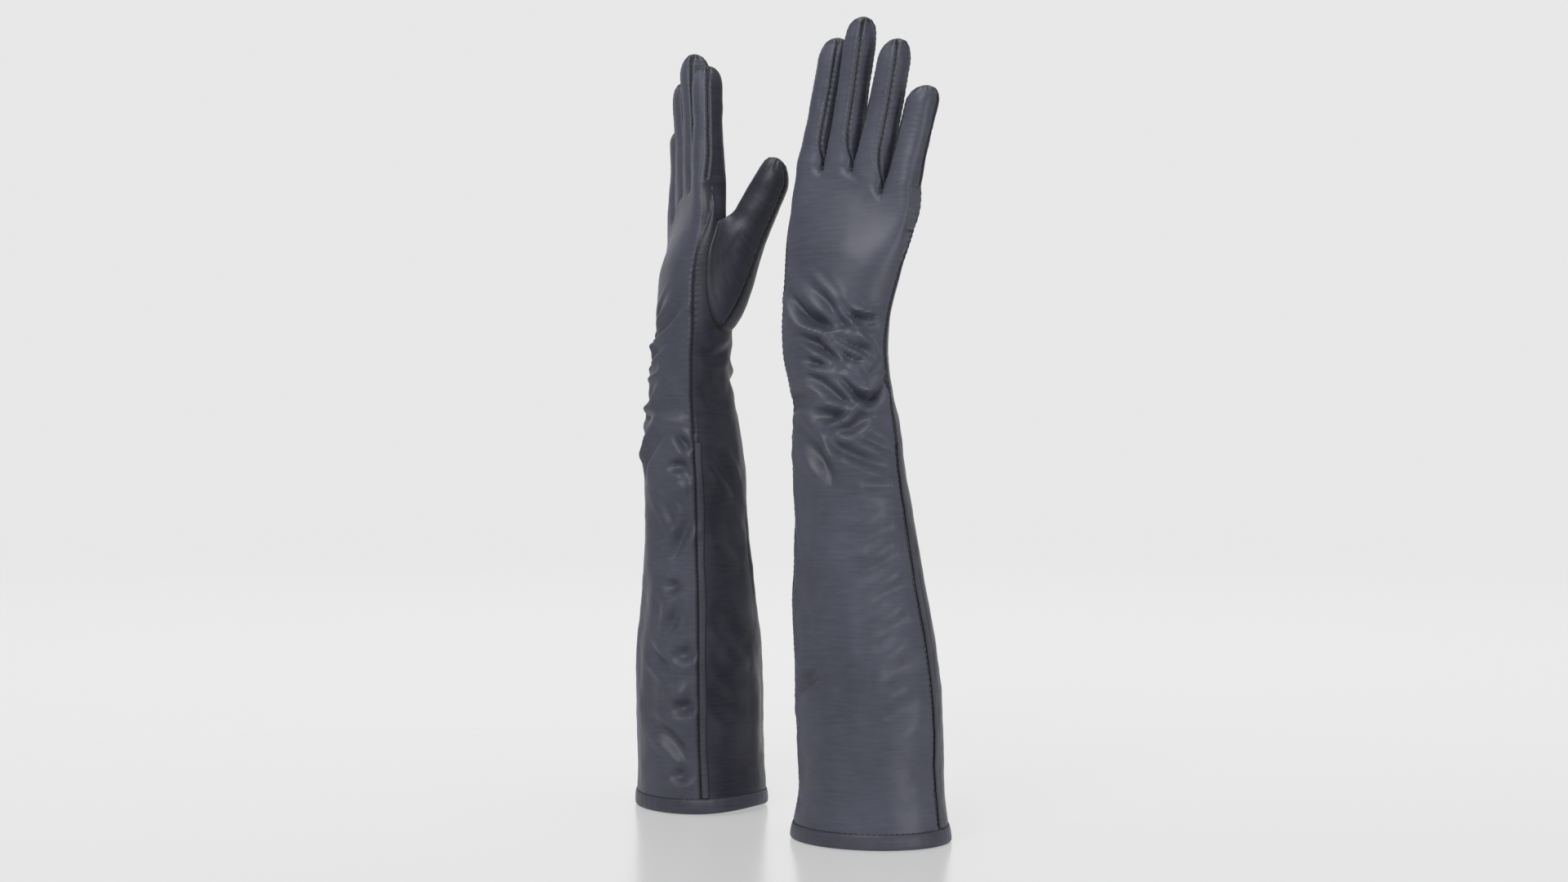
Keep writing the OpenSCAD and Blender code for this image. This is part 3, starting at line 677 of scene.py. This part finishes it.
def finger_point(finger, angle, share):
    """A point of one finger, in millimetres: angle goes round it and share from its root to its tip."""
    middle, half, tip, lean, bow, thumb_side, little_side = FINGERS[finger]
    turn = np.radians(angle)
    free_x, free_y = powered(np.cos(turn), 2 / 2.35), powered(np.sin(turn), 2 / 2.35)
    q = 90 - np.abs((angle % 180) - 90)
    flat_x = np.where(q < 45, 1, (90 - q) / 45)
    arch = np.clip(1 - flat_x ** 3, 0, 1) ** (1 / 3)
    flat_y = np.where(q < 45, SEAM_HEIGHT * q / 45, np.maximum(SEAM_HEIGHT, arch))
    turn_q = np.radians(q)
    oval_x, oval_y = np.cos(turn_q) ** (2 / 3), np.sin(turn_q) ** (2 / 3)
    beside = np.where(np.cos(turn) > 0, little_side, thumb_side)
    root_x = np.where(beside, flat_x, oval_x) * np.where(np.cos(turn) > 0, 1, -1)
    root_y = np.where(beside, flat_y, oval_y) * np.where(np.sin(turn) > 0, 1, -1)
    root_y = np.where(np.abs(np.sin(turn)) < 1e-9, 0, root_y)
    free = ease(share / 0.22)
    width = half * (1 - 0.06 * ease(share / 0.5))
    depth = ROOT_DEPTH * (1 - 0.15 * ease(share / 0.55) + 0.05 * ease((share - 0.5) / 0.3))
    close = np.clip(1 - (np.clip(share - 0.80, 0, 1) / 0.20) ** 2.6, 0, 1) ** 0.5
    x = root_x + (free_x - root_x) * free
    y = root_y + (free_y - root_y) * free
    root = crown(middle + half * root_x)
    return np.stack([
        middle + lean * share + width * x * close,
        ROOT_MIDDLE + bow * share + depth * y * close,
        root + (tip - root) * share,
    ], -1)


# A finger's rows are even up to the place where it rounds off, and crowd together toward the tip.
tip_rows = 0.80 + 0.20 * np.sin(np.linspace(0, math.pi / 2, 34)[1:])
finger_shares = np.r_[np.linspace(0, 0.80, 100), tip_rows]


def finger_strip(finger, first, last, columns, ribbed, seed):
    """A strip of one finger's cloth between two seams, each given by its angle at the root and above it."""
    rows = []
    for share in finger_shares:
        turned = ease(share / 0.28)
        first_angle = first[0] + (first[1] - first[0]) * turned
        angles = np.linspace(first_angle, last[0] + (last[1] - last[0]) * turned, 121)
        rows.append((angles, finger_point(finger, angles, np.full_like(angles, min(share, 0.995)))))
    angles, lengths = columns_by_length(rows, columns)
    shares = np.repeat(finger_shares[:, None], columns, 1)
    base = finger_point(finger, angles, shares)
    round_it = finger_point(finger, angles + 2, shares) - finger_point(finger, angles - 2, shares)
    ahead = np.minimum(shares + 0.01, 0.999)
    up = finger_point(finger, angles, ahead) - finger_point(finger, angles, shares - 0.01)
    normal = np.cross(round_it, up)
    normal /= np.maximum(np.linalg.norm(normal, axis=-1, keepdims=True), 1e-9)
    along = base[..., 2]
    across = np.linspace(0, 1, columns)[None] * lengths[:, None]
    calm = ease(shares / 0.05) * ease((1 - shares) / 0.03)
    back_across = lengths[:, None] - across
    dip = seam_dip(across, along, seed, 0.07) + seam_dip(back_across, along, seed + 1.3, 0.07)
    # Painted shade along both seams, broken by the stitches, and over the gathered tip.
    dark = (np.exp(-(across / 0.9) ** 2) + np.exp(-(back_across / 0.9) ** 2)) * seam_shade_and_stitches(along)
    dark = dark + 0.72 * ease((shares - 0.92) / 0.05)
    gathers = 0.16 * np.sin(np.radians(angles) * 11 + seed) * ease((shares - 0.86) / 0.08)
    lumps = 0.34 * roughen(base, 10, seed + 5) + 0.10 * roughen(base, 5, seed + 9)
    wander = 3.5 * roughen(base, 11, seed)
    ribs = ribbed * np.sin(along * 2 * math.pi / 3.3 + wander) * (0.6 + roughen(base, 15, 2))
    rise = (dip + gathers + lumps + ribs) * calm
    points = base + normal * rise[..., None]
    points[-1] = finger_point(finger, np.zeros(columns), np.ones(columns))
    return points, lengths, along, dark


# Each strip: its finger, its name, its first and last seam's angles at the root and above it, and the
# plain part whose place it takes.
FINGER_STRIPS = [
    ("index", "back_cloth", (194, 190), (315, 302), "index_back"),
    ("index", "palm_cloth", (45, 40), (194, 190), "index_palm"),
    ("index", "little_side_strip", (315, 302), (405, 400), "index_fourchette"),
    ("middle", "back_cloth", (225, 212), (315, 295), "middle_back"),
    ("middle", "palm_cloth", (45, 32), (135, 128), "middle_palm"),
    ("middle", "thumb_side_strip", (135, 128), (225, 212), "middle_fourchettes"),
    ("middle", "little_side_strip", (315, 295), (405, 392), "middle_fourchettes"),
    ("ring", "back_cloth", (225, 214), (315, 298), "ring_back"),
    ("ring", "palm_cloth", (45, 34), (135, 130), "ring_palm"),
    ("ring", "thumb_side_strip", (135, 130), (225, 214), "ring_fourchettes"),
    ("ring", "little_side_strip", (315, 298), (405, 394), "ring_fourchettes"),
    ("little", "back_cloth", (225, 218), (363, 361), "little_back"),
    ("little", "palm_cloth", (3, 1), (135, 132), "little_palm"),
    ("little", "thumb_side_strip", (135, 132), (225, 218), "little_fourchette"),
]


for number, (finger, label, first, last, node) in enumerate(FINGER_STRIPS):
    columns = 36 if last[0] - first[0] > 100 else 26
    ribbed = 0.12 if "strip" in label else 0.03 if finger == "little" else 0
    points, lengths, along, dark = finger_strip(finger, first, last, columns, ribbed, 0.7 * number)
    cloth = {"back_cloth": slate_satin, "palm_cloth": shade_painted_palm_satin}.get(label, shade_painted_strip_satin)
    for side in ("left", "right"):
        strip = sew(f"{finger}_{label}", points, lengths, along, side, cloth, dark, wall=0.5)
        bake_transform(strip)
        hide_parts(f"{side}_{node}")

# ---- Thumbs ----
# A thumb is set into the opening of the palm. It is made of two pieces of the same satin, one that faces
# the hand and one that faces away, and their ends are gathered at the tip.
THUMB_BEND = np.array([-41.8, 22.0, 362.0])
THUMB_TIP = np.array([-53.0, 35.6, 394.5])
THUMB_OUT = np.array([-0.577, 0.816, 0.0])
THUMB_SIDE = np.array([-0.816, -0.577, 0.0])
THUMB_RADIUS = 12.4
# The share of the thumb's length at which its base has narrowed to the tube of the thumb itself.
THUMB_NECK = 0.58


def unit(vector):
    return vector / np.maximum(np.linalg.norm(vector, axis=-1, keepdims=True), 1e-9)


def opening_point(turn, grow=0.0):
    """The angle and height of a point on the opening's edge, or grow millimetres outside it."""
    degrees_per_mm, power = 1.9, 2 / OPENING_SQUARENESS
    half_angle, half_height = OPENING_HALF_ANGLE + degrees_per_mm * grow, OPENING_HALF_HEIGHT + grow
    return (OPENING_ANGLE + half_angle * powered(np.cos(turn), power),
            OPENING_HEIGHT + half_height * powered(np.sin(turn), power))


def thumb_point(angle, share):
    """A point of the thumb: angle goes round it, with 90 facing the hand, and share runs from its seam
    to its tip."""
    turn = np.radians(angle)[..., None]
    axis = unit(THUMB_TIP - THUMB_BEND)
    inward = np.cross(axis, THUMB_SIDE)
    root = bare_tube(*opening_point(turn[..., 0]))
    ring = np.cos(turn) * THUMB_SIDE + np.sin(turn) * inward
    neck = THUMB_BEND + THUMB_RADIUS * ring
    t = np.clip(share / THUMB_NECK, 0, 1)[..., None]
    chord = np.linalg.norm(neck - root, axis=-1, keepdims=True)
    leave = chord * unit((neck - root) / chord + 0.45 * THUMB_OUT)
    arrive = chord * axis
    low = ((2 * t ** 3 - 3 * t ** 2 + 1) * root + (t ** 3 - 2 * t ** 2 + t) * leave
           + (3 * t ** 2 - 2 * t ** 3) * neck + (t ** 3 - t ** 2) * arrive)
    s = np.clip((share - THUMB_NECK) / 0.42, 0, 1)[..., None]
    close = np.clip(1 - (np.clip(s - 0.55, 0, 1) / 0.45) ** 2.4, 0, 1) ** 0.55
    radius = THUMB_RADIUS * (1 - 0.14 * ease(s / 0.75)) * close
    middle = THUMB_BEND + (THUMB_TIP - THUMB_BEND) * s + 2.8 * ease((s - 0.6) / 0.4) * inward
    return np.where(s > 0, middle + radius * ring, low)


tip_rows = 0.84 + 0.16 * np.sin(np.linspace(0, math.pi / 2, 30)[1:])
thumb_shares = np.r_[np.linspace(0, 0.84, 84), tip_rows]


def thumb_strip(first, last, columns, seed):
    """One of the thumb's two pieces, with its seams drawn in and its tip gathered."""
    rows = []
    for share in thumb_shares:
        angles = np.linspace(first, last, 121)
        rows.append((angles, thumb_point(angles, np.full_like(angles, min(share, 0.995)))))
    angles, lengths = columns_by_length(rows, columns)
    shares = np.repeat(thumb_shares[:, None], columns, 1)
    base = thumb_point(angles, shares)
    ahead = np.minimum(shares + 0.01, 0.998)
    normal = unit(np.cross(thumb_point(angles + 2, shares) - thumb_point(angles - 2, shares),
                           thumb_point(angles, ahead) - thumb_point(angles, ahead - 0.02)))
    across = np.linspace(0, 1, columns)[None] * lengths[:, None]
    back_across = lengths[:, None] - across
    row_steps = np.linalg.norm(np.diff(base, axis=0), axis=-1).mean(1)
    from_root = np.r_[0, np.cumsum(row_steps)][:, None]
    short_of_tip = ease((1 - shares) / 0.03)
    away = ease(from_root / 6) * short_of_tip
    dip = (seam_dip(across, from_root, seed) + seam_dip(back_across, from_root, seed + 1.3)) * away
    gathers = 0.18 * np.sin(np.radians(angles) * 12 + seed)
    gathers = gathers * ease((shares - 0.88) / 0.08) * short_of_tip
    lumps = (0.55 * roughen(base, 14, seed + 5) + 0.16 * roughen(base, 6, seed + 9)) * away
    root_pull = 0.30 * np.exp(-((from_root - 2.4) / 1.4) ** 2)
    points = base + normal * (dip + gathers + lumps + root_pull)[..., None]
    points[-1] = thumb_point(np.zeros(columns), np.ones(columns))
    # Painted shade along both seams, at the seam round the root and over the tip.
    edge = np.exp(-(across / 0.7) ** 2) + np.exp(-(back_across / 0.7) ** 2)
    root_seam = np.exp(-(from_root / 0.9) ** 2)
    dark = edge * seam_shade_and_stitches(from_root) + root_seam + 0.5 * ease((shares - 0.95) / 0.04)
    return points, lengths, from_root + 0 * across, dark


# The thumbs take the palm's satin, whose darker colour is painted shade.
for label, first, last, seed in (("inner", -70, 110, 2.1), ("outer", 110, 290, 3.9)):
    points, lengths, along, dark = thumb_strip(first, last, 56, seed)
    for side in ("left", "right"):
        strip = sew(f"thumb_{label}_cloth", points, lengths, along, side, shade_painted_palm_satin, dark)
        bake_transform(strip)
        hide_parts(f"{side}_thumb_{label}")

# ---- Cuff hems ----
# The sleeve's lower edge is a band of the cloth, turned up on the inside and sewn down. Each row of the
# turn holds how far it stands outside the panels and its height.
HEM_TURN = [(-1.25, 9.4), (-1.35, 6.0), (-1.40, 2.6), (-1.15, 0.9), (-0.55, 0.15), (0.05, 0.15),
            (0.60, 0.8), (0.85, 2.4), (0.90, 4.6), (0.85, 6.8), (0.60, 8.2), (0.22, 8.9)]
hem_satin = satin("hem_satin", (0.074, 0.077, 0.107), (0.046, 0.048, 0.067), 0.48)
HEM_COLUMNS = 289
hem_angles = np.linspace(0, 360, HEM_COLUMNS)
hem_points = []
for out, height in HEM_TURN:
    waves = 0.06 * np.sin(np.radians(hem_angles) * 41 + 2 * np.sin(np.radians(hem_angles) * 3))
    hem_points.append(skin(hem_angles, np.full_like(hem_angles, height), out + waves * (out > 0)))
hem_points = np.array(hem_points)
hem_lengths = np.linalg.norm(np.diff(hem_points, axis=1), axis=-1).sum(1)
hem_along = np.r_[0, np.cumsum(np.linalg.norm(np.diff(hem_points, axis=0), axis=-1).mean(1))]
# Painted shade on the turn's innermost rows and on its sewn-down top edge.
hem_painted_shade = np.zeros(hem_points.shape[:2])
hem_painted_shade[-1], hem_painted_shade[:2] = 0.85, 0.6
hem_places = np.repeat(hem_along[:, None], HEM_COLUMNS, 1)
for side in ("left", "right"):
    hem = sew("turned_hem", hem_points, hem_lengths, hem_places, side, hem_satin, hem_painted_shade, wall=0.5)
    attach(hem, f"{side}_arm")
    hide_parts(f"{side}_cuff_hem")

# ---- Side seam tapes ----
# Below the wrist the seam allowance is turned to the palm side and pressed flat, so it lies along each
# seam like a narrow tape of the satin.
TAPE_WIDTH, TAPE_COLUMNS = 4.2, 13
tape_rows = np.r_[9.6, np.arange(11, 223, 1.6), 224.0]
tape_heights = np.repeat(tape_rows[:, None], TAPE_COLUMNS, 1)
tape_lengths = np.full(len(tape_rows), TAPE_WIDTH)
share = np.linspace(0, 1, TAPE_COLUMNS)
reach = 0.5 + TAPE_WIDTH * share[None] * (1 + 0.07 * np.sin(tape_rows / 9.0)[:, None])
rounding = 0.45 + 0.42 * np.sin(np.pi * np.clip(share, 0, 1)) ** 0.6
pucker = 0.10 * np.sin(tape_rows * 2 * math.pi / PUCKER_STEP + 2 * np.sin(tape_rows / 8))
edge_shade = 0.75 * np.exp(-((share[None] - (share[None] > 0.5)) / 0.10) ** 2)
for label, seam, way in (("radial", THUMB_SIDE_SEAM, -1), ("ulnar", LITTLE_SIDE_SEAM, 1)):
    edge = np.interp(tape_rows, SEAM_HEIGHTS, seam)
    four_degrees = bare_tube(edge + way * 4, tape_rows) - bare_tube(edge, tape_rows)
    per_degree = np.linalg.norm(four_degrees, axis=1) / 4
    tape_angles = edge[:, None] + way * reach / per_degree[:, None]
    for side in ("left", "right"):
        tape_points = skin(tape_angles, tape_heights, rounding[None] + pucker[:, None], side)
        dark = edge_shade + 0 * tape_angles
        if way < 0:
            tape_points, dark = tape_points[:, ::-1], dark[:, ::-1]
        tape = sew(f"{label}_seam_tape", tape_points, tape_lengths, tape_heights, side, hem_satin, dark,
                   wall=0.45)
        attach(tape, f"{side}_arm")
        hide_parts(f"{side}_{label}_welt")

# ---- Crotches between the fingers ----
# At each crotch the side strips of two neighbours meet on a small turned lip, which shows as a bright
# edge in front of the dark gap.
LIP_ROWS, LIP_COLUMNS, LIP_WIDTH = 21, 13, 3.4
lips = []
for middle, half, *_ in list(FINGERS.values())[:-1]:
    t = np.linspace(-1, 1, LIP_COLUMNS)[None]
    depth = np.linspace(-1.06, 1.06, LIP_ROWS)[:, None]
    across = (middle + half) + 1.5 * t + 0 * depth
    spread = SEAM_HEIGHT * depth + 0.10 * np.sign(depth) * np.abs(depth) ** 8
    palmward = ROOT_MIDDLE + ROOT_DEPTH * spread
    height = crown(across) - 0.5 + 1.9 * np.abs(t) ** 1.7
    lips.append(np.stack([across, palmward + 0 * t, height], -1))
lips = np.concatenate(lips)
# The squares that would join one lip to the next are left out.
between_lips = np.zeros((len(lips) - 1, LIP_COLUMNS - 1), bool)
between_lips[LIP_ROWS - 1::LIP_ROWS] = True
lip_lengths = np.full(len(lips), LIP_WIDTH)
for side in ("left", "right"):
    lip = sew("crotch_lips", lips, lip_lengths, lips[..., 1], side, shade_painted_strip_satin, cut=between_lips,
              wall=0.45)
    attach(lip, f"{side}_hand")
    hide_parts(f"{side}_fourchette_roots")

# ---- Stitching ----
# Dark thread holds the hem, the thumb and the side seams. Every stitch is a short round bead of thread
# that sinks into the cloth at both ends.
thread = bpy.data.materials.new("dark_thread")
thread.use_nodes = True
nodes, links = thread.node_tree.nodes, thread.node_tree.links
strand = nodes["Principled BSDF"]
strand.inputs["Roughness"].default_value = 0.55
place = nodes.new("ShaderNodeTexCoord")
twist = nodes.new("ShaderNodeTexWave")
twist.bands_direction = "DIAGONAL"
twist.inputs["Scale"].default_value = 420
twist.inputs["Distortion"].default_value = 1.5
links.new(place.outputs["Object"], twist.inputs["Vector"])
strand_dye = nodes.new("ShaderNodeValToRGB")
strand_dye.color_ramp.elements[0].color = (0.008, 0.008, 0.012, 1)
strand_dye.color_ramp.elements[1].color = (0.030, 0.031, 0.042, 1)
links.new(twist.outputs["Fac"], strand_dye.inputs["Fac"])
links.new(strand_dye.outputs["Color"], strand.inputs["Base Color"])
ply = nodes.new("ShaderNodeBump")
ply.inputs["Strength"].default_value = 0.4
ply.inputs["Distance"].default_value = 0.00008
links.new(twist.outputs["Fac"], ply.inputs["Height"])
links.new(ply.outputs["Normal"], strand.inputs["Normal"])


def stitch_row(name, places, outward, ahead, side, length=2.1, width=0.30):
    """A row of stitches: each has its middle, the way out of the cloth and the way ahead."""
    rings, corners = 7, 8
    beads = []
    around = np.radians(np.linspace(0, 360, corners + 1))[:, None]
    for middle, out, way in zip(places, unit(outward), unit(ahead)):
        aside = np.cross(way, out)
        ring = np.cos(around) * aside + 0.8 * np.sin(around) * out
        for u in np.linspace(-1, 1, rings):
            core = middle + way * u * length / 2 - out * 0.25 * u * u
            beads.append(core + width * math.sqrt(1 - u * u) * ring)
    rows = np.array(beads)
    between_beads = np.zeros((len(rows) - 1, corners), bool)
    between_beads[rings - 1::rings] = True
    girth = np.full(len(rows), 1.8)
    return sew(name, rows, girth, rows[..., 2], side, thread, cut=between_beads, wall=0)


def along_skin(angles, heights, out, side):
    """Places in a line on the cloth, with the ways out of it and ahead. A negative out lies in a seam's
    groove."""
    places = skin(angles, heights, out, side)
    ahead = np.gradient(places, axis=0)
    return places, skin(angles, heights, out + 1, side) - places, ahead


for side in ("left", "right"):
    turns = np.linspace(0, 360, 84, endpoint=False)
    hem_stitch_height = 8.9
    places, outward, ahead = along_skin(turns, np.full_like(turns, hem_stitch_height), 0.30, side)
    ahead[0], ahead[-1] = places[1] - places[-1], places[0] - places[-2]
    row = stitch_row("hem_thread", places, outward, ahead, side)
    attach(row, f"{side}_arm")
    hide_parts(f"{side}_hem_stitching")

    turns = np.radians(np.linspace(0, 360, 58, endpoint=False))
    angles, heights = opening_point(turns, 0.7)
    places = bare_tube(angles, heights)
    outward = np.cross(bare_tube(angles + 1, heights) - bare_tube(angles - 1, heights),
                       bare_tube(angles, heights + 1) - bare_tube(angles, heights - 1))
    ahead = np.gradient(places, axis=0)
    row = stitch_row("thumb_thread", places, outward, ahead, side, length=1.9, width=0.24)
    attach(row, f"{side}_hand")
    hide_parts(f"{side}_thumb_stitching")

    for label, seam in (("thumb_side", THUMB_SIDE_SEAM), ("little_side", LITTLE_SIDE_SEAM)):
        heights = np.arange(11.5, 378, STITCH_STEP)
        angles = np.interp(heights, SEAM_HEIGHTS, seam)
        places, outward, ahead = along_skin(angles, heights, -0.52, side)
        row = stitch_row(f"{label}_seam_thread", places, outward, ahead, side, length=1.8, width=0.24)
        bend_at_wrist(row)
